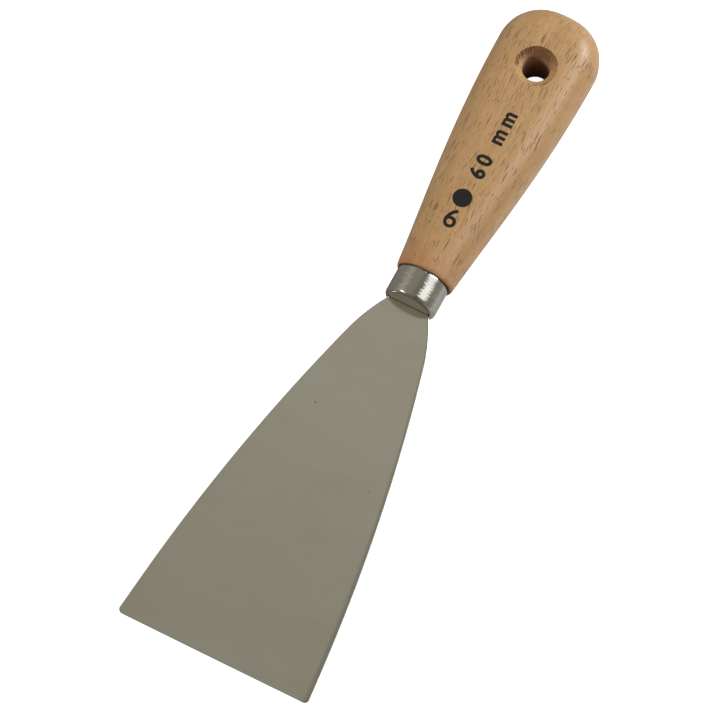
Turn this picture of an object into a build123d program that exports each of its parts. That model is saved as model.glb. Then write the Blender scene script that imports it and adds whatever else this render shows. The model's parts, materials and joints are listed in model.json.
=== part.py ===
from build123d import *
import os
from math import radians, sqrt, tan

# Flexible putty knife: a thin spring-steel blade on a beech handle, held in a drawn steel ferrule.
#
# X runs along the tool, from the working edge (-X) to the butt of the handle (+X).
# Y runs across the blade. Z is up, with the tool lying flat.
# The origin is under the middle of the tool's length, level with the underside of the handle.
#
# The blade and its tang are one sheet of steel on the real tool. They are two solids here, parted
# just outside the ferrule, so that the bending of the blade can be a hinge with a spring.

# ---- driving dimensions, mm and degrees ----

overall_length = 219.5

# blade, from the working edge towards the handle
blade_width = 60.0              # at the working edge, before its corners are rounded
blade_reach = 119.2             # from the working edge to the mouth of the ferrule
edge_thickness = 0.6            # at the working edge
root_thickness = 0.8            # at the ferrule, and all along the tang
edge_break = 0.1                # small bevels on the working edge
tip_corner_radius = 1.5
flank_angle = 5.5               # the straight part of each side, against X
flank_length = 12.4             # along X
side_arc_radius = 586.0         # the long gentle curve of each side
side_arc_turn = 9.2
shoulder_radius = 56.5          # the quicker curve into the ferrule
shoulder_turn = 18.0

# flex hinge
hinge_standoff = 0.6            # from the ferrule's mouth out to the hinge axis

# tang, hidden in the ferrule and the handle
tang_neck_width = 10.2
tang_neck_length = 3.0          # over which the blade's shoulders draw in to the neck
tang_end_width = 7.0
tang_length = 48.0              # from the ferrule's mouth

# ferrule
ferrule_radius = 7.9
ferrule_length = 9.05
ferrule_wall = 0.6
ferrule_edge_radius = 1.3       # the drawn corner round the end face
ferrule_rim_break = 0.15
slot_length = 13.3              # across the end face
slot_width = 1.2

# handle
neck_radius = 8.7               # half width and half height where the wood meets the ferrule
neck_flare = 0.10               # slope of the sides there
waist_distance = 28.75          # a place on the side, measured from the wood's front face
waist_half_width = 12.05        # the half width there
grip_half_width = 15.25         # at the widest place, near the butt
grip_half_height = 9.5
grip_distance = 58.75           # from the wood's front face to where that height is reached
corner_radius = 13.2            # corners of the butt, seen from above
butt_radius = 28.0              # the slightly domed end between them
long_edge_radius = 8.4          # rounding of the upper and lower edges, all the way round
front_edge_radius = 1.2         # rounding of the wood's front shoulder

# hanging hole
hole_from_butt = 20.8           # butt end to the centre of the hole
hole_radius = 4.05
hole_wall_length = 14.7         # the straight wall between the two 90 degree countersinks

# fits
ferrule_gap = 0.02              # between the spigot and the ferrule, all round
spigot_end_gap = 0.3            # between the spigot and the inside of the ferrule's end
tang_gap = 0.05                 # between the tang and its pocket, on every side

# ---- places worked out from them ----

mid_z = grip_half_height        # the blade and the handle share one middle plane
tip_x = -overall_length / 2
butt_x = overall_length / 2
mouth_x = tip_x + blade_reach
hinge_x = mouth_x - hinge_standoff
wood_x = mouth_x + ferrule_length
tang_end_x = mouth_x + tang_length
hole_x = butt_x - hole_from_butt

plan_plane = Plane.XY.offset(mid_z)
side_plane = Plane(origin=(0, 0, mid_z), x_dir=(1, 0, 0), z_dir=(0, -1, 0))
mouth_plane = Plane(origin=(mouth_x, 0, mid_z), x_dir=(0, 1, 0), z_dir=(1, 0, 0))

os.makedirs("parts", exist_ok=True)


# ---- blade and tang: one outline, parted at the hinge ----

with BuildSketch(plan_plane) as steel_outline:
    with BuildLine():
        flank = Line(
            (tip_x, blade_width / 2),
            (tip_x + flank_length, blade_width / 2 - flank_length * tan(radians(flank_angle))),
        )
        side = JernArc(flank @ 1, flank % 1, side_arc_radius, -side_arc_turn)
        shoulder = JernArc(side @ 1, side % 1, shoulder_radius, -shoulder_turn)
        neck = Line(shoulder @ 1, (mouth_x + tang_neck_length, tang_neck_width / 2))
        tang_side = Line(neck @ 1, (tang_end_x - tang_end_width / 2, tang_end_width / 2))
        RadiusArc(tang_side @ 1, (tang_end_x, 0), tang_end_width / 2)
        mirror(about=Plane.XZ)
        Line((tip_x, blade_width / 2), (tip_x, -blade_width / 2))
    make_face()
    tip_corners = steel_outline.vertices().group_by(Axis.X)[0]
    fillet(tip_corners, radius=tip_corner_radius)

with BuildPart() as blade:
    add(steel_outline.sketch)
    extrude(amount=root_thickness, both=True)
    # tapered thickness, ending in a full-round nose on the hinge axis
    with BuildSketch(side_plane):
        with BuildLine():
            taper = Polyline(
                (tip_x, 0),
                (tip_x, edge_thickness / 2 - edge_break),
                (tip_x + edge_break, edge_thickness / 2),
                (hinge_x, root_thickness / 2),
            )
            RadiusArc(taper @ 1, (hinge_x + root_thickness / 2, 0), root_thickness / 2)
            mirror(about=Plane.XZ)
        make_face()
    extrude(amount=blade_width, both=True, mode=Mode.INTERSECT)

with BuildPart() as tang:
    add(steel_outline.sketch)
    extrude(amount=root_thickness / 2, both=True)
    split(bisect_by=Plane.YZ.offset(mouth_x), keep=Keep.TOP)


# ---- ferrule: a drawn cup with a slot across its end ----

with BuildPart() as ferrule:
    with BuildSketch(mouth_plane):
        Circle(ferrule_radius)
    extrude(amount=ferrule_length)
    front_rim = ferrule.edges().group_by(Axis.X)[0]
    fillet(front_rim, radius=ferrule_edge_radius)
    rear_rim = ferrule.edges().group_by(Axis.X)[-1]
    fillet(rear_rim, radius=ferrule_rim_break)
    # hollow, open to the rear
    with BuildSketch(mouth_plane.offset(ferrule_wall)):
        Circle(ferrule_radius - ferrule_wall)
    extrude(amount=ferrule_length, mode=Mode.SUBTRACT)
    # slot for the blade
    with BuildSketch(mouth_plane):
        SlotOverall(slot_length, slot_width)
    extrude(amount=ferrule_wall + ferrule_edge_radius, mode=Mode.SUBTRACT)


# ---- handle ----

# Each corner arc touches the widest line of the side and, from inside, the domed butt.
butt_centre_x = butt_x - butt_radius
corner_centre_y = grip_half_width - corner_radius
corner_centre_x = butt_centre_x + sqrt((butt_radius - corner_radius) ** 2 - corner_centre_y**2)
corner_scale = butt_radius / (butt_radius - corner_radius)
corner_end = (
    butt_centre_x + corner_scale * (corner_centre_x - butt_centre_x),
    corner_scale * corner_centre_y,
)

with BuildPart() as handle:
    # outline seen from above
    with BuildSketch(plan_plane):
        with BuildLine():
            grip_side = Spline(
                (wood_x, neck_radius),
                (wood_x + waist_distance, waist_half_width),
                (corner_centre_x, grip_half_width),
                tangents=((1, neck_flare), (1, 0)),
            )
            RadiusArc(grip_side @ 1, corner_end, corner_radius)
            RadiusArc(corner_end, (butt_x, 0), butt_radius)
            mirror(about=Plane.XZ)
            Line((wood_x, neck_radius), (wood_x, -neck_radius))
        make_face()
    extrude(amount=2 * grip_half_height, both=True)

    # outline seen from the side
    with BuildSketch(side_plane):
        with BuildLine():
            back = Line((butt_x, grip_half_height), (wood_x + grip_distance, grip_half_height))
            TangentArc(back @ 1, (wood_x, neck_radius), tangent=back % 1)
            mirror(about=Plane.XZ)
            Line((butt_x, grip_half_height), (butt_x, -grip_half_height))
            Line((wood_x, neck_radius), (wood_x, -neck_radius))
        make_face()
    extrude(amount=blade_width, both=True, mode=Mode.INTERSECT)

    long_edges = handle.edges().filter_by(Axis.Z, reverse=True).filter_by(Axis.Y, reverse=True)
    fillet(long_edges, radius=long_edge_radius)
    front_edges = handle.faces().sort_by(Axis.X)[0].edges()
    fillet(front_edges, radius=front_edge_radius)

    # turned spigot inside the ferrule
    with BuildSketch(mouth_plane.offset(ferrule_wall + spigot_end_gap)):
        Circle(ferrule_radius - ferrule_wall - ferrule_gap)
    extrude(until=Until.NEXT)

    # pocket for the tang
    with BuildSketch(plan_plane):
        offset(steel_outline.sketch, amount=tang_gap)
    extrude(amount=root_thickness / 2 + tang_gap, both=True, mode=Mode.SUBTRACT)

    # hanging hole, countersunk from both faces
    with BuildSketch(side_plane):
        with BuildLine():
            Polyline(
                (hole_x, 0),
                (hole_x + hole_radius, 0),
                (hole_x + hole_radius, hole_wall_length / 2),
                (hole_x + hole_radius + grip_half_height, hole_wall_length / 2 + grip_half_height),
                (hole_x, hole_wall_length / 2 + grip_half_height),
                close=True,
            )
        make_face()
        mirror(about=Plane.XZ)
    revolve(axis=Axis((hole_x, 0, 0), (0, 0, 1)), mode=Mode.SUBTRACT)


# ---- one file for each piece ----

handle.part.label = "handle"
ferrule.part.label = "ferrule"
tang.part.label = "tang"
blade.part.label = "blade"

export_step(handle.part, "parts/handle.step")
export_step(ferrule.part, "parts/ferrule.step")
export_step(tang.part, "parts/tang.step")
export_step(blade.part, "parts/blade.step")
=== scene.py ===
import json
import math
import random

import bmesh
import bpy
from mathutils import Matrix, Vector, noise
from mathutils.geometry import delaunay_2d_cdt


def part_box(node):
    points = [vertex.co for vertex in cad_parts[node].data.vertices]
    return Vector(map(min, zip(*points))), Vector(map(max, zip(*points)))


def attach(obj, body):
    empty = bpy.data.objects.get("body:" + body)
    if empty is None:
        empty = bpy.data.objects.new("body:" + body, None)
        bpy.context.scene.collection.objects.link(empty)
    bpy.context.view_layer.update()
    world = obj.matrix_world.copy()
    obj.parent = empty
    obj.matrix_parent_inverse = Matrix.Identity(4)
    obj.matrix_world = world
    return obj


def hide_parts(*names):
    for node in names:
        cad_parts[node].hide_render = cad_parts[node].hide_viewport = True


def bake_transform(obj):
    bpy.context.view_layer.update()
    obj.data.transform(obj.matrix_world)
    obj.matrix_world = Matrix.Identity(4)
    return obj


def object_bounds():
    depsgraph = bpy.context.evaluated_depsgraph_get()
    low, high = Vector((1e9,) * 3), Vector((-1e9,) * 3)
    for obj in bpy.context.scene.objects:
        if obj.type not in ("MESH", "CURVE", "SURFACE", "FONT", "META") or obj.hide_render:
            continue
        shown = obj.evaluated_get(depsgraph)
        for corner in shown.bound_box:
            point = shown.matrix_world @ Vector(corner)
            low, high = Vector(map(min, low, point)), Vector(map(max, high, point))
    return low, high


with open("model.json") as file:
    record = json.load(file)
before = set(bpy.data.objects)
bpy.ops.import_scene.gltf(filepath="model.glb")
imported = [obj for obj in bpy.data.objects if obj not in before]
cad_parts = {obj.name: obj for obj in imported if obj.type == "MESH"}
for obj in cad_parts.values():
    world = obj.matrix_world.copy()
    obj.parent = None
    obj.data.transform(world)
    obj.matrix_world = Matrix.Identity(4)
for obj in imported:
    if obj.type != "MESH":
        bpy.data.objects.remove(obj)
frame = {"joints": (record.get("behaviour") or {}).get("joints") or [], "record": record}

# A flexible putty knife: a polished spring-steel blade, a nickel-plated ferrule and a beech handle.
# X runs from the working edge (-X) to the butt (+X), Y across the blade, Z up. Lengths are in metres.

MM = 0.001
cad_low, cad_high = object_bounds()

# ---- places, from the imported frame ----

ferrule_low, ferrule_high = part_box("ferrule")
handle_low, handle_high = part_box("handle")
flex_joint = frame["joints"][0]
hanging_hole = frame["record"]["mounts"][0]

tip_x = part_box("blade")[0].x
mouth_x = ferrule_low.x
wood_x = ferrule_high.x
tang_end_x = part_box("tang")[1].x
butt_x = handle_high.x
hinge_x = flex_joint["pos_m"][0]
mid_z = (handle_low.z + handle_high.z) / 2
hole_x = hanging_hole["pos_m"][0]
hole_radius = hanging_hole["dims"]["r_mm"] * MM
hole_wall_half = hanging_hole["dims"]["length_mm"] * MM / 2

# ---- shape of the blade ----

BLADE_HALF_WIDTH = 30.0 * MM        # at the working edge, before its corners are rounded
EDGE_THICKNESS = 0.6 * MM
ROOT_THICKNESS = 0.8 * MM
STEEL_EDGE_BREAK = 0.1 * MM
TIP_CORNER_RADIUS = 1.5 * MM
FLANK_ANGLE = math.radians(5.5)
FLANK_LENGTH = 12.4 * MM
SIDE_ARC_RADIUS = 586.0 * MM
SIDE_ARC_TURN = math.radians(9.2)
SHOULDER_RADIUS = 56.5 * MM
SHOULDER_TURN = math.radians(18.0)
TANG_NECK_HALF_WIDTH = 5.1 * MM
TANG_NECK_LENGTH = 3.0 * MM
TANG_END_RADIUS = 3.5 * MM

# ---- shape of the ferrule ----

FERRULE_RADIUS = 7.9 * MM
FERRULE_WALL = 0.6 * MM
FERRULE_EDGE_RADIUS = 1.3 * MM
FERRULE_RIM_BREAK = 0.15 * MM
SLOT_HALF_LENGTH = 6.65 * MM
SLOT_HALF_WIDTH = 0.6 * MM

FERRULE_DISC_RADIUS = 7.05 * MM     # the flat part of its end face
FERRULE_WOBBLE = 0.0012             # how much its radius varies, as a share
NICKS = ((-10, 0.30, 0.42), (-1, 0.22, 0.22))   # degrees, half width and depth in mm, in its rear rim
NICKED_LENGTH = 0.4 * MM            # the part of the side, beside the rear rim, that the nicks push

# ---- shape of the handle ----

NECK_RADIUS = 8.7 * MM
NECK_FLARE = 0.10
WAIST_DISTANCE = 28.75 * MM
WAIST_HALF_WIDTH = 12.05 * MM
GRIP_HALF_WIDTH = 15.25 * MM
GRIP_HALF_HEIGHT = 9.5 * MM
GRIP_DISTANCE = 58.75 * MM
CORNER_RADIUS = 13.2 * MM
BUTT_RADIUS = 28.0 * MM
LONG_EDGE_RADIUS = 8.4 * MM
FRONT_EDGE_RADIUS = 1.2 * MM
SPIGOT_RADIUS = 7.28 * MM
SPIGOT_END_GAP = 0.3 * MM
TANG_GAP = 0.05 * MM
POCKET_MOUTH_HALF_WIDTH = 6.2 * MM
POCKET_END_HALF_WIDTH = 0.8 * MM


# ---- mesh helpers ----

SAME_POINT = 1e-9                   # nearer than this, two points of a face are one


def strip(bm, first, second, closed=True):
    """Quads between two rows that have as many vertices as each other."""
    count = len(first) if closed else len(first) - 1
    faces = []
    for i in range(count):
        j = (i + 1) % len(first)
        faces.append(bm.faces.new((first[i], first[j], second[j], second[i])))
    return faces


def fill(bm, loops, extra, flat, lift, keep):
    """Triangles between loops of existing vertices, over extra points, where keep(u, v) is true."""
    rim = [v for loop in loops for v in loop]
    edges = []
    start = 0
    for loop in loops:
        edges += [(start + i, start + (i + 1) % len(loop)) for i in range(len(loop))]
        start += len(loop)
    points = [Vector(flat(v.co)) for v in rim] + [Vector(p) for p in extra]
    placed, _, faces, origin, _, _ = delaunay_2d_cdt(points, edges, [], 0, SAME_POINT)
    verts = []
    for place, sources in zip(placed, origin):
        known = [s for s in sources if s < len(rim)]
        verts.append(rim[known[0]] if known else bm.verts.new(lift(place.x, place.y)))
    for face in faces:
        middle = sum((placed[i] for i in face), Vector((0, 0))) / len(face)
        if keep(middle.x, middle.y):
            bm.faces.new([verts[i] for i in face])
    loose = [v for v in verts if not v.link_faces and v not in rim]
    bmesh.ops.delete(bm, geom=loose, context="VERTS")


def make_piece(name, bm, *materials):
    """A smooth-shaded object from bm, with its face normals pointing outwards."""
    bmesh.ops.recalc_face_normals(bm, faces=bm.faces)
    mesh = bpy.data.meshes.new(name)
    bm.to_mesh(mesh)
    bm.free()
    for material in materials:
        mesh.materials.append(material)
    mesh.shade_smooth()
    piece = bpy.data.objects.new(name, mesh)
    bpy.context.scene.collection.objects.link(piece)
    return piece


def steps(start, end, count):
    """count + 1 evenly spaced values from start to end."""
    return [start + (end - start) * i / count for i in range(count + 1)]


# ---- node helpers ----

def add(tree, kind, inputs=None, **settings):
    """A shader node with its settings; a socket in inputs is linked, any other value is set."""
    made = tree.nodes.new("ShaderNode" + kind)
    for key, value in settings.items():
        setattr(made, key, value)
    for key, value in (inputs or {}).items():
        if isinstance(value, bpy.types.NodeSocket):
            tree.links.new(value, made.inputs[key])
        else:
            made.inputs[key].default_value = value
    return made


def math_node(tree, operation, first, second=0.0, clamp=False):
    node = add(tree, "Math", {0: first, 1: second}, operation=operation, use_clamp=clamp)
    return node.outputs[0]


def spread(tree, value, low, high, out_low=0.0, out_high=1.0):
    """value, taken from the range low to high to the range out_low to out_high, with smooth ends."""
    inputs = {"Value": value, "From Min": low, "From Max": high, "To Min": out_low, "To Max": out_high}
    return add(tree, "MapRange", inputs, interpolation_type="SMOOTHSTEP").outputs["Result"]


def scaled(tree, vector, scale, offset=(0, 0, 0)):
    """vector times scale, axis by axis, plus offset."""
    inputs = {0: vector, 1: scale, 2: offset}
    return add(tree, "VectorMath", inputs, operation="MULTIPLY_ADD").outputs[0]


def noise_node(tree, vector, detail=2.0, roughness=0.5, distortion=0.0):
    inputs = {"Vector": vector, "Scale": 1.0, "Detail": detail, "Roughness": roughness,
              "Distortion": distortion}
    return add(tree, "TexNoise", inputs).outputs["Fac"]


def grey(tree, value):
    """A socket's value as a colour."""
    return add(tree, "CombineColor", {i: value for i in range(3)}).outputs[0]


def mix_colour(tree, factor, first, second, blend="MIX"):
    node = add(tree, "Mix", {0: factor}, data_type="RGBA", blend_type=blend)
    for index, colour in ((6, first), (7, second)):
        if isinstance(colour, bpy.types.NodeSocket):
            tree.links.new(colour, node.inputs[index])
        else:
            node.inputs[index].default_value = (*colour, 1.0)
    return node.outputs[2]


def bump_node(tree, height, distance, strength=1.0, normal=None):
    inputs = {"Height": height, "Distance": distance, "Strength": strength}
    if normal is not None:
        inputs["Normal"] = normal
    return add(tree, "Bump", inputs).outputs["Normal"]


def new_material(name):
    """A material's tree, its Principled shader, and its place in millimetres."""
    material = bpy.data.materials.new(name)
    material.use_nodes = True
    tree = material.node_tree
    shader = tree.nodes["Principled BSDF"]
    place = add(tree, "TexCoord").outputs["Object"]
    return material, tree, shader, scaled(tree, place, (1 / MM,) * 3)


def set_shader(tree, shader, **values):
    """Sets or links the shader's sockets; an underscore in a name stands for a space."""
    for key, value in values.items():
        socket = shader.inputs[key.replace("_", " ")]
        if isinstance(value, bpy.types.NodeSocket):
            tree.links.new(value, socket)
        else:
            socket.default_value = value


# ---- materials ----

BEECH = (0.420, 0.240, 0.100)
BEECH_LIGHT = (0.480, 0.292, 0.132)
BEECH_RED = (0.390, 0.198, 0.076)
BEECH_FLECK = (0.130, 0.044, 0.011)
BEECH_SCORCH = (0.410, 0.170, 0.058)
BEECH_CUT = (0.470, 0.285, 0.130)
# dark end grain, also standing in for painted shade on the hole's +X wall
BEECH_END_GRAIN_SHADE = (0.180, 0.079, 0.036)
# bare wood deep in the bore, darkened partly as painted shade of the recess
BEECH_BORE_SHADE = (0.340, 0.195, 0.110)
# painted shade for the crease between the wood and the ferrule
BEECH_JOINT_SHADE = (0.055, 0.026, 0.010)
STEEL_BROWN = (0.600, 0.560, 0.476)
STEEL_GREEN = (0.612, 0.597, 0.510)
STEEL_SPECK = (0.12, 0.10, 0.08)
NICKEL_DARK = (0.385, 0.374, 0.322)
NICKEL_LIGHT = (0.430, 0.420, 0.368)
INK = (0.006, 0.006, 0.005)
INK_THIN = (0.024, 0.017, 0.011)

# Each kind of fleck: length and width of its cells in mm, then its largest radius and a shift, in cells.
FLECKS = ((14.0, 0.80, 0.160, 0.0), (10.0, 0.70, 0.150, 5.2), (5.2, 0.55, 0.140, 2.7))
WARM_LENGTH = 9.0                       # how far warmer wood reaches from the ferrule, mm
JOINT_SHADE_FROM, JOINT_SHADE_TO = 0.05, 0.50         # where the painted shade in the crease beside the ferrule fades, mm
LACQUER_FROM, LACQUER_TO = 0.9, 2.0     # where the lacquer begins behind the ferrule, mm
SPECK_CELLS = 0.07                      # cells in a millimetre, at most one dark speck in each
LINE_LEAN = 0.062                       # how far the polishing lines lean the ferrule's surface
COARSE_LEAN = 0.006


def beech_material():
    material, tree, shader, place = new_material("beech_lacquered")
    sway = noise_node(tree, scaled(tree, place, (0.030, 0.06, 0.06)), 1.0)
    bend = add(tree, "CombineXYZ", {"Y": math_node(tree, "MULTIPLY", sway, 5.0)}).outputs[0]
    grain = add(tree, "VectorMath", {0: place, 1: bend}, operation="ADD").outputs[0]

    bands = noise_node(tree, scaled(tree, grain, (0.006, 0.16, 0.16)), 2.0, 0.55)
    streaks = noise_node(tree, scaled(tree, grain, (0.012, 0.75, 0.75), (3.1, 0, 0)), 3.0, 0.6)
    fibres = noise_node(tree, scaled(tree, grain, (0.30, 2.4, 2.4), (0, 7.3, 0)), 4.0, 0.75)
    colour = mix_colour(tree, spread(tree, bands, 0.35, 0.70), BEECH, BEECH_LIGHT)
    colour = mix_colour(tree, spread(tree, streaks, 0.50, 0.78, 0.0, 0.75), colour, BEECH_RED)
    tone = grey(tree, spread(tree, fibres, 0.25, 0.75, 0.86, 1.14))
    colour = mix_colour(tree, 1.0, colour, tone, "MULTIPLY")

    # ray flecks: short dark lens shapes along the grain, laid out across Y on the flat faces
    # and across Z on the sides
    spot = add(tree, "SeparateXYZ", {0: grain})
    facing = add(tree, "SeparateXYZ", {0: add(tree, "NewGeometry").outputs["Normal"]})
    side = math_node(tree, "GREATER_THAN", math_node(tree, "ABSOLUTE", facing.outputs["Y"]),
                     math_node(tree, "ABSOLUTE", facing.outputs["Z"]))
    across = add(tree, "Mix", {0: side, 2: spot.outputs["Y"], 3: spot.outputs["Z"]}).outputs[0]
    flat = add(tree, "CombineXYZ", {"X": spot.outputs["X"], "Y": across}).outputs[0]
    fleck = None
    for length, width, size, shift in FLECKS:
        vector = scaled(tree, flat, (1 / length, 1 / width, 1), (shift, shift, 0))
        voronoi = add(tree, "TexVoronoi", {"Vector": vector, "Scale": 1.0}, voronoi_dimensions="2D")
        chance = add(tree, "SeparateColor", {0: voronoi.outputs["Color"]}).outputs[0]
        reach = math_node(tree, "MULTIPLY", chance, size)
        inside = math_node(tree, "SUBTRACT", reach, voronoi.outputs["Distance"])
        depth = math_node(tree, "MULTIPLY", spread(tree, inside, -0.004, 0.024),
                          spread(tree, chance, 0.0, 0.7))
        fleck = depth if fleck is None else math_node(tree, "MAXIMUM", fleck, depth)
    # the butt is end grain, without flecks
    end_on = math_node(tree, "ABSOLUTE", facing.outputs["X"])
    fleck = math_node(tree, "MULTIPLY", fleck, spread(tree, end_on, 0.50, 0.80, 1.0, 0.0))
    colour = mix_colour(tree, math_node(tree, "MULTIPLY", fleck, 0.95), colour, BEECH_FLECK)

    # warmer wood close to the ferrule
    along = add(tree, "SeparateXYZ", {0: place}).outputs["X"]
    front = wood_x / MM
    near = spread(tree, along, front, front + WARM_LENGTH, 1.0, 0.0)
    patches = noise_node(tree, scaled(tree, grain, (0.14, 0.28, 0.28), (1.7, 0, 0)), 2.0)
    scorch = math_node(tree, "MULTIPLY", near, spread(tree, patches, 0.40, 0.62))
    colour = mix_colour(tree, math_node(tree, "MULTIPLY", scorch, 0.8), colour, BEECH_SCORCH)
    # painted shade: a dark line in the crease where the wood meets the ferrule
    joint_shade = math_node(tree, "ADD", spread(tree, along, front + JOINT_SHADE_FROM, front + JOINT_SHADE_TO, 1.0, 0.0),
                     spread(tree, patches, 0.35, 0.65, 0.0, -0.25), clamp=True)
    colour = mix_colour(tree, math_node(tree, "MULTIPLY", joint_shade, near), colour, BEECH_JOINT_SHADE)

    relief = math_node(tree, "SUBTRACT", fibres, math_node(tree, "MULTIPLY", fleck, 0.8))
    wander = noise_node(tree, scaled(tree, place, (0.05, 0.12, 0.12)), 1.0)
    normal = bump_node(tree, wander, 0.25 * MM)
    normal = bump_node(tree, relief, 0.022 * MM, normal=normal)
    # the turned shoulder beside the ferrule is hardly lacquered
    lacquer = spread(tree, along, front + LACQUER_FROM, front + LACQUER_TO)
    bare = math_node(tree, "SUBTRACT", 1.0, lacquer)
    roughness = math_node(tree, "ADD", spread(tree, fibres, 0.2, 0.8, 0.38, 0.50),
                          math_node(tree, "MULTIPLY", bare, 0.45))
    set_shader(tree, shader, Base_Color=colour, Roughness=roughness, Normal=normal,
               Coat_Weight=math_node(tree, "MULTIPLY", lacquer, 0.2), Coat_Roughness=0.30, IOR=1.48)
    return material


def cut_beech_material():
    """Bare wood in the countersinks and the bore: rough, darker on end grain, darkest inside. The
    end-grain darkness, only on the hole's +X wall, is partly painted shade, and the darker bore is
    partly painted shade too.
    """
    material, tree, shader, place = new_material("beech_bare")
    fibres = noise_node(tree, scaled(tree, place, (0.5, 5.0, 2.0)), 3.0, 0.7)
    mottle = noise_node(tree, scaled(tree, place, (1.5, 1.1, 0.6)), 3.0, 0.6)
    bore_tone_and_shade = add(tree, "Attribute", attribute_name="bore_tone_and_shade").outputs["Fac"]
    end_grain_and_shade = add(tree, "Attribute", attribute_name="end_grain_and_shade").outputs["Fac"]
    dark = math_node(tree, "ADD", end_grain_and_shade, spread(tree, mottle, 0.35, 0.75, -0.12, 0.22), clamp=True)
    colour = mix_colour(tree, dark, BEECH_CUT, BEECH_END_GRAIN_SHADE)
    tone = grey(tree, spread(tree, fibres, 0.2, 0.8, 0.84, 1.16))
    colour = mix_colour(tree, 1.0, colour, tone, "MULTIPLY")
    # blends to a darker brown down the bore: partly bare wood colour, partly painted shade
    colour = mix_colour(tree, spread(tree, bore_tone_and_shade, 0.0, 1.0), colour, BEECH_BORE_SHADE)
    normal = bump_node(tree, fibres, 0.06 * MM)
    normal = bump_node(tree, mottle, 0.12 * MM, normal=normal)
    set_shader(tree, shader, Base_Color=colour, Roughness=0.85, Normal=normal, Specular_IOR_Level=0.15)
    return material


def blade_material():
    material, tree, shader, place = new_material("spring_steel_polished")
    cloud = noise_node(tree, scaled(tree, place, (0.085, 0.030, 0.05)), 4.0, 0.62, 0.5)
    haze = noise_node(tree, scaled(tree, place, (0.22, 0.30, 0.2), (4.0, 0, 0)), 3.0, 0.6)
    lines = noise_node(tree, scaled(tree, place, (0.35, 14.0, 1.0)), 3.0, 0.65)
    colour = mix_colour(tree, spread(tree, cloud, 0.35, 0.65), STEEL_BROWN, STEEL_GREEN)
    # the steel is a little darker towards the working edge
    along = add(tree, "SeparateXYZ", {0: place}).outputs["X"]
    tone = grey(tree, spread(tree, along, tip_x / MM, mouth_x / MM, 0.88, 1.05))
    colour = mix_colour(tree, 1.0, colour, tone, "MULTIPLY")
    # a few tiny dark specks
    vector = scaled(tree, place, (SPECK_CELLS,) * 3)
    voronoi = add(tree, "TexVoronoi", {"Vector": vector, "Scale": 1.0}, voronoi_dimensions="2D")
    chance = add(tree, "SeparateColor", {0: voronoi.outputs["Color"]}).outputs[0]
    reach = math_node(tree, "MULTIPLY", math_node(tree, "SUBTRACT", chance, 0.5), 0.046)
    speck = spread(tree, math_node(tree, "SUBTRACT", reach, voronoi.outputs["Distance"]), -0.004, 0.004)
    colour = mix_colour(tree, math_node(tree, "MULTIPLY", speck, 0.6), colour, STEEL_SPECK)
    roughness = spread(tree, haze, 0.3, 0.7, 0.11, 0.18)
    normal = bump_node(tree, cloud, 0.018 * MM)
    normal = bump_node(tree, lines, 0.0012 * MM, normal=normal)
    set_shader(tree, shader, Base_Color=colour, Metallic=1.0, Roughness=roughness, Normal=normal)
    return material


def ferrule_material():
    material, tree, shader, place = new_material("nickel_plate_polished")
    # polishing lines run round the ferrule: fine along X, long round the axis
    lines = noise_node(tree, scaled(tree, place, (4.6, 0.16, 0.16)), 2.0, 0.45)
    coarse = noise_node(tree, scaled(tree, place, (0.9, 0.25, 0.25), (8.0, 0, 0)), 1.0, 0.5)
    cloud = noise_node(tree, scaled(tree, place, (0.25, 0.25, 0.25), (0, 3.0, 0)), 2.0)
    colour = mix_colour(tree, spread(tree, cloud, 0.3, 0.7), NICKEL_DARK, NICKEL_LIGHT)
    roughness = spread(tree, lines, 0.3, 0.7, 0.10, 0.19)
    # each line leans the surface a little round the axis, which frays the edges of reflections
    outward = add(tree, "NewGeometry").outputs["Normal"]
    round_axis = add(tree, "VectorMath", {0: (1, 0, 0), 1: outward}, operation="CROSS_PRODUCT")
    lean = math_node(tree, "ADD", spread(tree, lines, 0.36, 0.64, -LINE_LEAN, LINE_LEAN),
                     spread(tree, coarse, 0.3, 0.7, -COARSE_LEAN, COARSE_LEAN))
    push = add(tree, "VectorMath", {0: round_axis.outputs[0], "Scale": lean}, operation="SCALE")
    frayed = add(tree, "VectorMath", {0: outward, 1: push.outputs[0]}, operation="ADD").outputs[0]
    frayed = add(tree, "VectorMath", {0: frayed}, operation="NORMALIZE").outputs[0]
    normal = bump_node(tree, lines, 0.008 * MM, normal=frayed)
    set_shader(tree, shader, Base_Color=colour, Metallic=1.0, Roughness=roughness, Normal=normal)
    return material


def ink_material():
    """Black printing ink, a little thin along the wood's fibres."""
    material, tree, shader, place = new_material("ink_black")
    fibres = noise_node(tree, scaled(tree, place, (0.3, 4.0, 4.0)), 4.0, 0.7)
    colour = mix_colour(tree, spread(tree, fibres, 0.45, 0.75), INK, INK_THIN)
    normal = bump_node(tree, fibres, 0.02 * MM)
    set_shader(tree, shader, Base_Color=colour, Roughness=spread(tree, fibres, 0.3, 0.7, 0.50, 0.65),
               Specular_IOR_Level=0.3, Normal=normal)
    return material


# ---- blade with its tang, one sheet of steel ----

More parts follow.
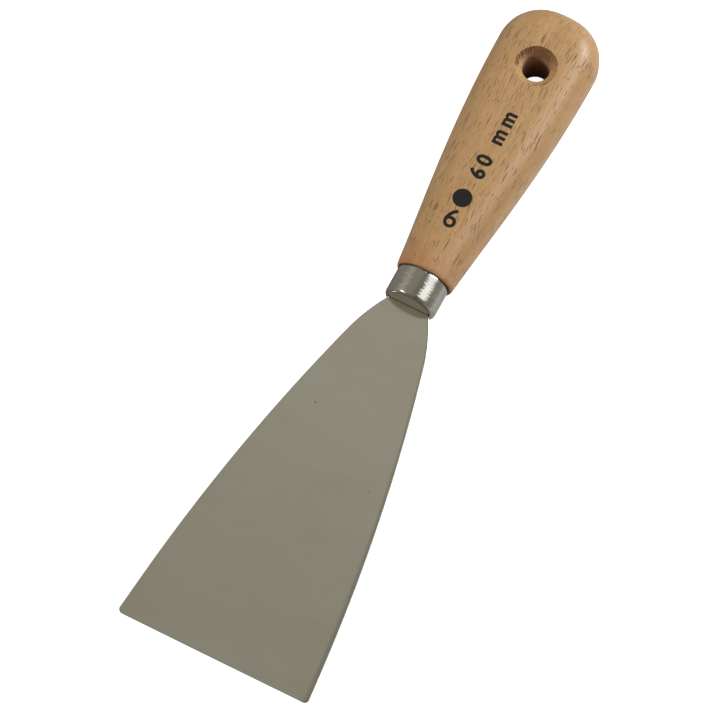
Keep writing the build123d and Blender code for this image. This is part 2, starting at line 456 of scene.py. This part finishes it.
def blade_outline():
    """(x, half width) from the working edge to the end of the tang."""
    flank_end = (tip_x + FLANK_LENGTH, BLADE_HALF_WIDTH - FLANK_LENGTH * math.tan(FLANK_ANGLE))
    rows = []
    for angle in steps(0.0, math.pi / 2, 8):
        x = tip_x + TIP_CORNER_RADIUS * (1 - math.cos(angle))
        flank = BLADE_HALF_WIDTH - (x - tip_x) * math.tan(FLANK_ANGLE)
        rows.append((x, flank - TIP_CORNER_RADIUS * (1 - math.sin(angle))))
    for x in steps(rows[-1][0], flank_end[0], 9)[1:]:
        rows.append((x, BLADE_HALF_WIDTH - (x - tip_x) * math.tan(FLANK_ANGLE)))
    heading = FLANK_ANGLE
    arcs = ((SIDE_ARC_RADIUS, SIDE_ARC_TURN, 72), (SHOULDER_RADIUS, SHOULDER_TURN, 18))
    for radius, turn, count in arcs:
        x0, y0 = rows[-1]
        for angle in steps(heading, heading + turn, count)[1:]:
            x = x0 + radius * (math.sin(angle) - math.sin(heading))
            rows.append((x, y0 + radius * (math.cos(angle) - math.cos(heading))))
        heading += turn
    rows.append((mouth_x + TANG_NECK_LENGTH, TANG_NECK_HALF_WIDTH))
    side_end = tang_end_x - TANG_END_RADIUS
    for x in steps(rows[-1][0], side_end, 12)[1:]:
        share = (x - rows[-1][0]) / (side_end - rows[-1][0])
        rows.append((x, rows[-1][1] + share * (TANG_END_RADIUS - rows[-1][1])))
    for angle in steps(0.0, math.radians(84), 7)[1:]:
        rows.append((side_end + TANG_END_RADIUS * math.sin(angle), TANG_END_RADIUS * math.cos(angle)))
    return rows


def make_blade():
    across = 28
    bm = bmesh.new()
    sections = []
    rows = blade_outline()
    for index, (x, half_width) in enumerate(rows):
        share = min(max((x - tip_x) / (hinge_x - tip_x), 0.0), 1.0)
        half_height = (EDGE_THICKNESS + share * (ROOT_THICKNESS - EDGE_THICKNESS)) / 2
        if index == 0 or index == len(rows) - 1:
            half_height -= STEEL_EDGE_BREAK
        flat = half_width - STEEL_EDGE_BREAK
        inner = half_height - STEEL_EDGE_BREAK
        corner = STEEL_EDGE_BREAK * (1 - math.sqrt(0.5))
        top = [(y, half_height) for y in steps(-flat, flat, across)]
        edge = [(half_width - corner, half_height - corner), (half_width, inner),
                (half_width, -inner), (half_width - corner, corner - half_height)]
        loop = top + edge + [(-y, -z) for y, z in top] + [(-y, -z) for y, z in edge]
        sections.append([bm.verts.new((x, y, mid_z + z)) for y, z in loop])
    for first, second in zip(sections, sections[1:]):
        strip(bm, first, second)
    for end in (sections[0], sections[-1]):
        half = len(end) // 2
        top, edge = end[:across + 1], end[across + 1:half]
        bottom, other = end[half:half + across + 1], end[half + across + 1:]
        strip(bm, top, bottom[::-1], closed=False)
        bm.faces.new([top[-1], *edge, bottom[0]])
        bm.faces.new([bottom[-1], *other, top[0]])
    return make_piece("blade_sheet", bm, blade_material())


# ---- ferrule, a drawn cup with a slot across its end ----

def slot_loop(bm, half_length, half_width, x):
    """A stadium-shaped loop of vertices across the end of the ferrule."""
    loop = []
    for sign in (1, -1):
        for angle in steps(-90, 90, 10):
            turn = math.radians(angle)
            y = half_length - half_width + half_width * math.cos(turn)
            loop.append(bm.verts.new((x, sign * y, mid_z + sign * half_width * math.sin(turn))))
    return loop


def corner_depth(radius):
    """How far the ferrule's rounded corner stands back from its end face at that radius."""
    over = max(radius - (FERRULE_RADIUS - FERRULE_EDGE_RADIUS), 0.0)
    return FERRULE_EDGE_RADIUS - math.sqrt(FERRULE_EDGE_RADIUS**2 - over**2)


def make_ferrule():
    around = 256
    disc_radius = FERRULE_DISC_RADIUS
    bm = bmesh.new()

    def ring(radius, x, nicked=0):
        loop = []
        for i in range(around):
            angle = 2 * math.pi * i / around
            push = 0.0
            for degrees, width, depth in NICKS:
                away = (angle - math.radians(degrees) + math.pi) % (2 * math.pi) - math.pi
                push += nicked * depth * MM * math.exp(-(away * radius / (width * MM)) ** 4)
            spot = Vector((x / MM * 0.3, 2 * math.cos(angle), 2 * math.sin(angle)))
            wobble = 1 + FERRULE_WOBBLE * noise.noise(spot)
            y = radius * wobble * math.sin(angle)
            loop.append(bm.verts.new((x - push, y, mid_z + radius * wobble * math.cos(angle))))
        return loop

    rings = [ring(disc_radius, mouth_x + corner_depth(disc_radius))]
    first = math.asin((disc_radius - FERRULE_RADIUS + FERRULE_EDGE_RADIUS) / FERRULE_EDGE_RADIUS)
    for angle in steps(first, math.pi / 2, 9)[1:]:
        radius = FERRULE_RADIUS - FERRULE_EDGE_RADIUS * (1 - math.sin(angle))
        rings.append(ring(radius, mouth_x + FERRULE_EDGE_RADIUS * (1 - math.cos(angle))))
    for x in steps(mouth_x + FERRULE_EDGE_RADIUS, wood_x - FERRULE_RIM_BREAK, 12)[1:]:
        rings.append(ring(FERRULE_RADIUS, x, 1 if x > wood_x - NICKED_LENGTH else 0))
    rings.append(ring(FERRULE_RADIUS - 0.3 * FERRULE_RIM_BREAK, wood_x - 0.3 * FERRULE_RIM_BREAK, 1))
    rings.append(ring(FERRULE_RADIUS - FERRULE_RIM_BREAK, wood_x, 1))
    inner = FERRULE_RADIUS - FERRULE_WALL
    rings.append(ring(inner, wood_x, 1))
    rings.append(ring(inner, mouth_x + FERRULE_WALL))
    rings.append(ring(disc_radius, mouth_x + FERRULE_WALL))
    for one, two in zip(rings, rings[1:]):
        strip(bm, one, two)

    bevel = 0.07 * MM
    slot = [slot_loop(bm, SLOT_HALF_LENGTH + bevel, SLOT_HALF_WIDTH + bevel, mouth_x),
            slot_loop(bm, SLOT_HALF_LENGTH, SLOT_HALF_WIDTH, mouth_x + bevel),
            slot_loop(bm, SLOT_HALF_LENGTH, SLOT_HALF_WIDTH, mouth_x + FERRULE_WALL)]
    for one, two in zip(slot, slot[1:]):
        strip(bm, one, two)

    def in_slot(y, z):
        return abs(z) < SLOT_HALF_WIDTH and abs(y) < SLOT_HALF_LENGTH - SLOT_HALF_WIDTH \
            or math.hypot(abs(y) - SLOT_HALF_LENGTH + SLOT_HALF_WIDTH, z) < SLOT_HALF_WIDTH

    def keep(y, z):
        return math.hypot(y, z) < disc_radius and not in_slot(y, z)

    grid = [(y * MM, z * MM) for y in steps(-7, 7, 28) for z in steps(-7, 7, 28)]
    spare = [p for p in grid if math.hypot(*p) < disc_radius - 0.3 * MM and abs(p[1]) > 1.0 * MM]
    for loop, hole, x in ((rings[0], slot[0], mouth_x), (rings[-1], slot[-1], mouth_x + FERRULE_WALL)):
        fill(bm, [loop, hole], spare, lambda co: (co.y, co.z - mid_z),
             lambda y, z: (x, y, mid_z + z), keep)
    return make_piece("ferrule_cup", bm, ferrule_material())


# ---- beech handle ----

def hermite(x, x0, x1, y0, y1, slope0, slope1):
    """Height and slope of the cubic between two places with those heights and slopes."""
    length = x1 - x0
    t = (x - x0) / length
    a = slope0 * length - (y1 - y0)
    b = (y1 - y0) - slope1 * length
    height = y0 + t * (y1 - y0) + t * (1 - t) * (a * (1 - t) + b * t)
    slope = (y1 - y0) + (1 - 2 * t) * (a * (1 - t) + b * t) + t * (1 - t) * (b - a)
    return height, slope / length


butt_centre_x = butt_x - BUTT_RADIUS
corner_centre_y = GRIP_HALF_WIDTH - CORNER_RADIUS
corner_centre_x = butt_centre_x + math.sqrt((BUTT_RADIUS - CORNER_RADIUS)**2 - corner_centre_y**2)
corner_end_angle = math.atan2(corner_centre_y, corner_centre_x - butt_centre_x)
waist_x = wood_x + WAIST_DISTANCE


def waist_slope():
    """The slope at the waist that gives the side one smooth bend through all three places."""
    front = waist_x - wood_x
    rear = corner_centre_x - waist_x
    front_rise = WAIST_HALF_WIDTH - NECK_RADIUS
    rear_rise = GRIP_HALF_WIDTH - WAIST_HALF_WIDTH
    pull = 3 * (front_rise / front**2 + rear_rise / rear**2)
    return (pull - NECK_FLARE / front) / (2 * (1 / front + 1 / rear))


def half_width(x):
    if x < waist_x:
        return hermite(x, wood_x, waist_x, NECK_RADIUS, WAIST_HALF_WIDTH, NECK_FLARE, waist_slope())
    return hermite(x, waist_x, corner_centre_x, WAIST_HALF_WIDTH, GRIP_HALF_WIDTH, waist_slope(), 0.0)


crown_rise = GRIP_HALF_HEIGHT - NECK_RADIUS
crown_radius = (GRIP_DISTANCE**2 + crown_rise**2) / (2 * crown_rise)


def half_height(x):
    before = max(wood_x + GRIP_DISTANCE - x, 0.0)
    return GRIP_HALF_HEIGHT - crown_radius + math.sqrt(crown_radius**2 - before**2)


def handle_side(inset):
    """(x, y, shoulder inset) along one side at that inset, from the front shoulder to the butt."""
    places = []
    xs = [wood_x + FRONT_EDGE_RADIUS * (1 - math.cos(a)) for a in steps(0, math.pi / 2, 7)]
    xs += steps(xs[-1], corner_centre_x, 66)[1:]
    for x in xs:
        width, slope = half_width(x)
        before = max(wood_x + FRONT_EDGE_RADIUS - x, 0.0)
        shoulder = FRONT_EDGE_RADIUS - math.sqrt(FRONT_EDGE_RADIUS**2 - before**2)
        places.append((x, width - inset * math.sqrt(1 + slope**2), shoulder))
    for angle in steps(math.pi / 2, corner_end_angle, 30)[1:]:
        reach = CORNER_RADIUS - inset
        y = corner_centre_y + reach * math.sin(angle)
        places.append((corner_centre_x + reach * math.cos(angle), y, 0))
    for angle in steps(corner_end_angle, 0.0, 6)[1:]:
        reach = BUTT_RADIUS - inset
        places.append((butt_centre_x + reach * math.cos(angle), reach * math.sin(angle), 0))
    return places


def handle_ring(bm, angle, sign):
    """One line of vertices round the handle, at that angle up its rounded edge."""
    inset = LONG_EDGE_RADIUS * (1 - math.cos(angle))
    side = handle_side(inset)
    ring = []
    for x, y, shoulder in side + [(x, -y, shoulder) for x, y, shoulder in side[-2::-1]]:
        z = half_height(x) - LONG_EDGE_RADIUS * (1 - math.sin(angle))
        size = (NECK_RADIUS - shoulder) / NECK_RADIUS
        ring.append(bm.verts.new((x, y * size, mid_z + sign * z * size)))
    return ring


# Groups of torn fibres: from and to, in degrees round the hole, how many, depth and half length in mm.
TORN_GROUPS = ((34, 114, 16, 0.60, 0.95), (186, 250, 12, 0.75, 0.50))
TORN_RADII = (5.75, 6.10)           # how far from the hole's centre their middles are, mm
TORN_HALF_WIDTH = 0.085 * MM


def torn_fibres():
    """Short straight notches that the countersink tore across its upper rim, round the hole's centre.

    Each is (middle, direction, half length, half width, depth).
    """
    rng = random.Random(4)
    notches = []
    for low, high, count, depth, length in TORN_GROUPS:
        for angle in steps(low, high, count - 1):
            turn = math.radians(angle + rng.uniform(-1.2, 1.2))
            heading = math.radians(28 + 0.31 * angle + rng.uniform(-6, 6))
            radius = rng.uniform(*TORN_RADII) * MM
            notches.append((radius * Vector((math.cos(turn), math.sin(turn))),
                            Vector((math.cos(heading), math.sin(heading))),
                            length * MM * rng.uniform(0.7, 1.1),
                            TORN_HALF_WIDTH * rng.uniform(0.8, 1.3),
                            depth * MM * rng.uniform(0.5, 1.0)))
    return notches


def notch_depth(notches, place):
    """How far the torn fibres lower the surface at that place, seen from the hole's centre."""
    deepest = 0.0
    for middle, direction, length, width, depth in notches:
        along = (place - middle).dot(direction) / length
        across = (place - middle).cross(direction) / width
        if abs(along) < 1 and abs(across) < 2:
            deepest = max(deepest, depth * math.sqrt(1 - along**2) * math.exp(-across**4))
    return deepest


HOLE_BORDER = 6.64 * MM             # how far out from the hole's centre its own rings reach
FLAT_RINGS = (6.52 * MM, 6.40 * MM, 6.30 * MM)
NOTCHED = (4.5 * MM, 6.60 * MM)     # the part of that with torn fibres
BARE_RADIUS = 6.25 * MM             # inside this the wood is bare and a little uneven
BARE_ROUGHNESS = 0.07 * MM
END_GRAIN_SHADE_ANGLE = math.radians(8)   # where round the hole the end grain and its painted shade are darkest


def hole_profile():
    """(radius, height above the middle plane, darkness) from the top face down to the middle; the
    darkness grows down the bore, partly bare wood colour, partly painted shade.
    """
    rim = hole_radius + GRIP_HALF_HEIGHT - hole_wall_half
    top = GRIP_HALF_HEIGHT
    # flat rings, a slightly broken rim, the countersink, a broken edge, and the bore
    rows = [(radius, top, 0.0) for radius in (HOLE_BORDER, *FLAT_RINGS)]
    rows += [(rim + 0.03 * MM, top - 0.01 * MM, 0.0), (rim - 0.07 * MM, top - 0.09 * MM, 0.0)]
    for radius in steps(rim - 0.20 * MM, hole_radius + 0.15 * MM, 12):
        rows.append((radius, top - (rim - radius), 0.0))
    rows.append((hole_radius + 0.04 * MM, hole_wall_half + 0.03 * MM, 0.15))
    for share in steps(0.985, 0.0, 12):
        rows.append((hole_radius, hole_wall_half * share, 0.35 + 0.65 * min(3.0 * (1 - share), 1.0)))
    return rows


def make_hole(bm, bore_tone_and_shade, end_grain_and_shade):
    """The hanging hole's rings from the top face to the bottom one; returns the two outer rings."""
    around = 640
    lacquered_rows = 5
    notches = torn_fibres()
    upper = hole_profile()
    rows = [(r, z, tone, 1) for r, z, tone in upper]
    rows += [(r, -z, tone, -1) for r, z, tone in upper[-2::-1]]
    rings = []
    for radius, z, tone, side in rows:
        ring = []
        for i in range(around):
            angle = 2 * math.pi * i / around
            notch = 0.0
            if side > 0 and NOTCHED[0] < radius < NOTCHED[1]:
                notch = notch_depth(notches, radius * Vector((math.cos(angle), math.sin(angle))))
            rough = 0.0
            if radius < BARE_RADIUS:
                spot = Vector((5 * math.cos(angle), 5 * math.sin(angle), z / MM * 0.5))
                rough = BARE_ROUGHNESS * noise.noise(spot)
            reach = radius + rough
            vert = bm.verts.new((hole_x + reach * math.cos(angle), reach * math.sin(angle),
                                 mid_z + z - side * notch))
            # darkness down the bore: partly bare wood colour, partly painted shade in the recess
            vert[bore_tone_and_shade] = tone
            # darker end grain on the hole's +X side only: partly end grain, partly painted shade on that
            # wall; torn fibres are darker too, partly painted shade in their hollows
            facing = max(math.cos(angle - END_GRAIN_SHADE_ANGLE), 0.0) ** 0.8
            vert[end_grain_and_shade] = min(facing + 1.5 * notch / MM, 1.0)
            ring.append(vert)
        rings.append(ring)
    for index, (one, two) in enumerate(zip(rings, rings[1:])):
        bare = lacquered_rows <= index + 1 < len(rings) - lacquered_rows
        for face in strip(bm, one, two):
            face.material_index = int(bare)
    return rings[0], rings[-1]


def make_handle():
    bm = bmesh.new()
    bore_tone_and_shade = bm.verts.layers.float.new("bore_tone_and_shade")
    end_grain_and_shade = bm.verts.layers.float.new("end_grain_and_shade")
    angles = steps(0.0, math.pi / 2, 14)
    rings = [handle_ring(bm, angle, -1) for angle in reversed(angles)]
    rings += [handle_ring(bm, angle, 1) for angle in angles]
    for one, two in zip(rings, rings[1:]):
        strip(bm, one, two, closed=False)

    top_hole, bottom_hole = make_hole(bm, bore_tone_and_shade, end_grain_and_shade)

    grid = []
    spacing = 1.3 * MM
    clearance = 0.35 * MM
    for row in range(int((butt_x - wood_x) / spacing)):
        x = wood_x + (row + 0.5) * spacing
        for column in range(-6, 7):
            grid.append((x, (column + 0.5 * (row % 2)) * spacing))
    edge = [(v.co.x, v.co.y) for v in rings[-1]]
    half_edge = edge[:len(edge) // 2 + 1]

    def inside(x, y, margin):
        """Whether that place is on the flat face and off the hole's own rings, by that margin."""
        if math.hypot(x - hole_x, y) < HOLE_BORDER + margin:
            return False
        for (x0, y0), (x1, y1) in zip(half_edge, half_edge[1:]):
            if x0 <= x < x1:
                return abs(y) < y0 + (y1 - y0) * (x - x0) / (x1 - x0) - margin
        return False

    extra = [p for p in grid if inside(*p, clearance)]
    for ring, hole, sign in ((rings[-1], top_hole, 1), (rings[0], bottom_hole, -1)):
        fill(bm, [ring, hole], extra, lambda co: (co.x, co.y),
             lambda x, y: (x, y, mid_z + sign * half_height(x)), lambda x, y: inside(x, y, 0.0))

    # front face, and the turned spigot that the ferrule covers
    front = [ring[0] for ring in rings] + [ring[-1] for ring in reversed(rings)]
    spigot_end = mouth_x + FERRULE_WALL + SPIGOT_END_GAP

    def round_loop(radius, x):
        loop = []
        for v in front:
            out = Vector((v.co.y, v.co.z - mid_z)).normalized() * radius
            loop.append(bm.verts.new((x, out.x, mid_z + out.y)))
        return loop

    bevel = 0.3 * MM
    loops = [front, round_loop(SPIGOT_RADIUS, wood_x), round_loop(SPIGOT_RADIUS, spigot_end + bevel),
             round_loop(SPIGOT_RADIUS - bevel, spigot_end)]
    for one, two in zip(loops, loops[1:]):
        strip(bm, one, two)

    # pocket for the tang
    half_slot = ROOT_THICKNESS / 2 + TANG_GAP
    side_end = tang_end_x - TANG_END_RADIUS
    pocket = []
    pocket_sizes = (
        (spigot_end, POCKET_MOUTH_HALF_WIDTH),
        (mouth_x + TANG_NECK_LENGTH, TANG_NECK_HALF_WIDTH + TANG_GAP),
        (side_end, TANG_END_RADIUS + TANG_GAP),
        (tang_end_x + TANG_GAP, POCKET_END_HALF_WIDTH),
    )
    for x, width in pocket_sizes:
        corners = ((width, half_slot), (-width, half_slot), (-width, -half_slot), (width, -half_slot))
        pocket.append([bm.verts.new((x, y, mid_z + z)) for y, z in corners])
    for one, two in zip(pocket, pocket[1:]):
        strip(bm, one, two)
    bm.faces.new(pocket[-1])

    def on_spigot_end(y, z):
        in_pocket = abs(y) < POCKET_MOUTH_HALF_WIDTH and abs(z) < half_slot
        return math.hypot(y, z) < SPIGOT_RADIUS and not in_pocket

    fill(bm, [loops[-1], pocket[0]], [], lambda co: (co.y, co.z - mid_z),
         lambda y, z: (spigot_end, y, mid_z + z), on_spigot_end)
    return make_piece("handle_beech", bm, beech_material(), cut_beech_material())


# ---- print on the handle ----

INK_RAISE = 0.03 * MM
INK_SINK = 0.05 * MM
INK_MERGE = 0.001 * MM
PRINT_CELL = 0.8 * MM
NUMERAL_PLACE = (36.0 * MM, 0.0)        # the blade's width in centimetres, upright with the blade down
NUMERAL_HEIGHT = 6.2 * MM
DISC_PLACE = (42.7 * MM, 0.0)
DISC_RADIUS = 2.85 * MM
LENGTH_PLACE = (61.3 * MM, -0.1 * MM)   # the same width in millimetres, reading along the handle
LENGTH_HEIGHT = 4.6 * MM
CAP_HEIGHT = 0.73                       # of the font, for a size of 1
NUMERAL_WEIGHT = 0.10 * MM              # added to each side of the font's strokes
LENGTH_WEIGHT = 0.22 * MM
LENGTH_SPACING = 1.40                   # between letters, as a share of the font's own


def surface_height(x, y):
    """How far the handle's upper surface is above the middle plane."""
    width, slope = half_width(x)
    inset = min((width - abs(y)) / math.sqrt(1 + slope**2), LONG_EDGE_RADIUS)
    fall = LONG_EDGE_RADIUS - math.sqrt(LONG_EDGE_RADIUS**2 - (LONG_EDGE_RADIUS - inset)**2)
    return half_height(x) - fall


def flat_text(text, height, spacing, weight):
    """A flat mesh of the text, its middle at the origin, reading along X."""
    curve = bpy.data.curves.new("text", "FONT")
    curve.body = text
    curve.size = height / CAP_HEIGHT
    curve.space_character = spacing
    curve.offset = weight
    curve.resolution_u = 8
    curve.align_x = "CENTER"
    carrier = bpy.data.objects.new("text", curve)
    bpy.context.scene.collection.objects.link(carrier)
    bpy.context.view_layer.update()
    evaluated = carrier.evaluated_get(bpy.context.evaluated_depsgraph_get())
    mesh = bpy.data.meshes.new_from_object(evaluated)
    bm = bmesh.new()
    bm.from_mesh(mesh)
    bmesh.ops.translate(bm, verts=bm.verts, vec=(0, -height / 2, 0))
    bpy.data.objects.remove(carrier)
    bpy.data.curves.remove(curve)
    bpy.data.meshes.remove(mesh)
    return bm


def lay_ink(name, bm, centre, quarter_turn=False):
    """A thin layer of ink on the handle's upper face, from flat faces about the origin."""
    bmesh.ops.remove_doubles(bm, verts=bm.verts, dist=INK_MERGE)
    for v in bm.verts:
        across, up = (v.co.y, -v.co.x) if quarter_turn else (v.co.x, v.co.y)
        v.co = Vector((centre[0] + across, centre[1] + up, 0))
    for axis in (0, 1):
        low = min(v.co[axis] for v in bm.verts)
        high = max(v.co[axis] for v in bm.verts)
        normal = Vector((axis == 0, axis == 1, 0))
        for step in range(math.ceil(low / PRINT_CELL), math.ceil(high / PRINT_CELL)):
            bmesh.ops.bisect_plane(bm, geom=bm.verts[:] + bm.edges[:] + bm.faces[:],
                                   plane_co=normal * step * PRINT_CELL, plane_no=normal)
    raised = bmesh.ops.extrude_face_region(bm, geom=bm.faces[:], use_keep_orig=True)["geom"]
    upper = {item for item in raised if isinstance(item, bmesh.types.BMVert)}
    for v in bm.verts:
        v.co.z = mid_z + surface_height(v.co.x, v.co.y) + (INK_RAISE if v in upper else -INK_SINK)
    piece = make_piece(name, bm, ink_material())
    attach(piece, "handle")


def make_print():
    numeral = flat_text("6", NUMERAL_HEIGHT, 1.0, NUMERAL_WEIGHT)
    lay_ink("print_numeral", numeral, NUMERAL_PLACE, quarter_turn=True)
    disc = bmesh.new()
    bmesh.ops.create_circle(disc, cap_ends=True, segments=72, radius=DISC_RADIUS)
    lay_ink("print_disc", disc, DISC_PLACE)
    millimetres = flat_text("60 mm", LENGTH_HEIGHT, LENGTH_SPACING, LENGTH_WEIGHT)
    lay_ink("print_length", millimetres, LENGTH_PLACE)


# ---- studio ----

def area_light(name, place, target, size, power, colour=(1, 1, 1)):
    """A rectangular softbox at one place, facing another; its first size is level."""
    light = bpy.data.lights.new(name, "AREA")
    light.shape = "RECTANGLE"
    light.size, light.size_y = size
    light.energy = power
    light.color = colour
    lamp = bpy.data.objects.new(name, light)
    lamp.location = place
    lamp.rotation_euler = (Vector(place) - Vector(target)).to_track_quat("Z", "Y").to_euler()
    lamp.visible_camera = False
    bpy.context.scene.collection.objects.link(lamp)


# Brightness of what the tool reflects, by degrees from overhead towards its right side.
SKY_LEVELS = ((-180, 0.40), (-95, 0.38), (-82, 0.41), (-71, 0.50), (-60, 0.62), (-50, 0.68),
              (-41, 0.54), (-32, 0.41), (-4, 0.43), (5, 0.30), (20, 0.26), (28, 0.42), (76, 0.42),
              (82, 0.36), (100, 0.40), (180, 0.40))
BACKGROUND = (0.90, 0.90, 0.90)     # what the camera sees


def make_world():
    """Soft studio surroundings, plain and pale to the camera.

    What the tool reflects is grey overhead, paler to the left, darker just right of overhead,
    and darker beyond the working edge, except close to the horizon.
    """
    world = bpy.data.worlds.new("studio")
    bpy.context.scene.world = world
    world.use_nodes = True
    tree = world.node_tree
    direction = add(tree, "TexCoord").outputs["Generated"]
    parts = add(tree, "SeparateXYZ", {0: direction})
    right = math_node(tree, "MULTIPLY", parts.outputs["Y"], -1.0)
    tilt = math_node(tree, "ARCTAN2", right, parts.outputs["Z"])
    share = math_node(tree, "ADD", math_node(tree, "DIVIDE", tilt, 2 * math.pi), 0.5)
    ramp = add(tree, "ValToRGB", {"Fac": share})
    elements = ramp.color_ramp.elements
    for degrees, level in SKY_LEVELS[1:-1]:
        elements.new(degrees / 360 + 0.5)
    for element, (degrees, level) in zip(elements, SKY_LEVELS):
        element.position = degrees / 360 + 0.5
        element.color = (level * 1.03, level, level * 0.89, 1)
    beyond_tip = spread(tree, parts.outputs["X"], -0.92, -0.40, 0.42, 1.0)
    horizon = spread(tree, parts.outputs["Z"], 0.06, 0.16, 0.8, 0.0)
    shade = math_node(tree, "ADD", beyond_tip, horizon, clamp=True)
    reflected = mix_colour(tree, 1.0, ramp.outputs["Color"], grey(tree, shade), "MULTIPLY")
    seen = add(tree, "LightPath").outputs["Is Camera Ray"]
    shown = mix_colour(tree, seen, reflected, BACKGROUND)
    tree.links.new(shown, tree.nodes["Background"].inputs["Color"])


FLOOR_HALF = 2.5
FLOOR_GAP = 0.2 * MM                # below the tool


def make_floor():
    bm = bmesh.new()
    bmesh.ops.create_grid(bm, x_segments=8, y_segments=8, size=FLOOR_HALF)
    for v in bm.verts:
        v.co.z = cad_low.z - FLOOR_GAP
    material, tree, shader, place = new_material("floor_pale")
    soft = noise_node(tree, scaled(tree, place, (0.004, 0.004, 0.004)), 2.0)
    shade = spread(tree, soft, 0.3, 0.7, 0.60, 0.62)
    # The floor glows to the camera, so that it is pale right up to the tool. To everything else it is
    # bright only in a strip along the tool's right side, a painted pool of light, and darker elsewhere,
    # painted shade.
    across = add(tree, "SeparateXYZ", {0: place}).outputs["Y"]
    painted_light_strip = math_node(tree, "MULTIPLY", spread(tree, across, -62, -42),
                           spread(tree, across, 6, -14))
    bounce = math_node(tree, "ADD", math_node(tree, "MULTIPLY", painted_light_strip, 0.42), 0.36)
    seen = add(tree, "LightPath").outputs["Is Camera Ray"]
    level = add(tree, "Mix", {0: seen, 2: bounce, 3: shade}).outputs[0]
    set_shader(tree, shader, Base_Color=grey(tree, level), Roughness=0.9, Emission_Color=(1, 1, 1, 1),
               Emission_Strength=math_node(tree, "MULTIPLY", seen, 0.96))
    floor = make_piece("floor", bm, material)


CAMERA_DISTANCE = 2.0
CAMERA_ELEVATION = math.radians(68.14)
CAMERA_TURN = math.radians(27.48)   # of its heading, from +X towards +Y
CAMERA_LENS = 353.3                 # focal length in mm, for a sensor 36 mm wide
CAMERA_AIM = Vector((-11.507 * MM, 4.638 * MM, mid_z))


def make_camera():
    data = bpy.data.cameras.new("camera")
    data.lens = CAMERA_LENS
    data.sensor_width = 36.0
    data.clip_end = 20.0
    forward = Vector((math.cos(CAMERA_TURN) * math.cos(CAMERA_ELEVATION),
                      math.sin(CAMERA_TURN) * math.cos(CAMERA_ELEVATION), -math.sin(CAMERA_ELEVATION)))
    camera = bpy.data.objects.new("camera", data)
    camera.location = CAMERA_AIM - forward * CAMERA_DISTANCE
    camera.rotation_euler = forward.to_track_quat("-Z", "Y").to_euler()
    bpy.context.scene.collection.objects.link(camera)
    bpy.context.scene.camera = camera


# ---- the scene ----

make_camera()
make_world()
area_light("softbox_right", (0.78, -0.716, 0.750), (0.78, 0, mid_z), (1.5, 0.67), 5.05,
           (0.96, 1.0, 1.13))
area_light("softbox_butt", (0.55, -0.38, 0.36), (0.05, 0, mid_z), (0.28, 0.28), 2.9)
area_light("softbox_left", (-0.72, 0.72, 0.64), (0, 0, mid_z), (0.22, 0.22), 5.6)
make_floor()

blade = make_blade()
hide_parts("blade", "tang")
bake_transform(blade)

ferrule = make_ferrule()
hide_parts("ferrule")
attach(ferrule, "handle")

handle = make_handle()
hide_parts("handle")
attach(handle, "handle")
make_print()

bpy.context.scene.view_settings.view_transform = "Standard"
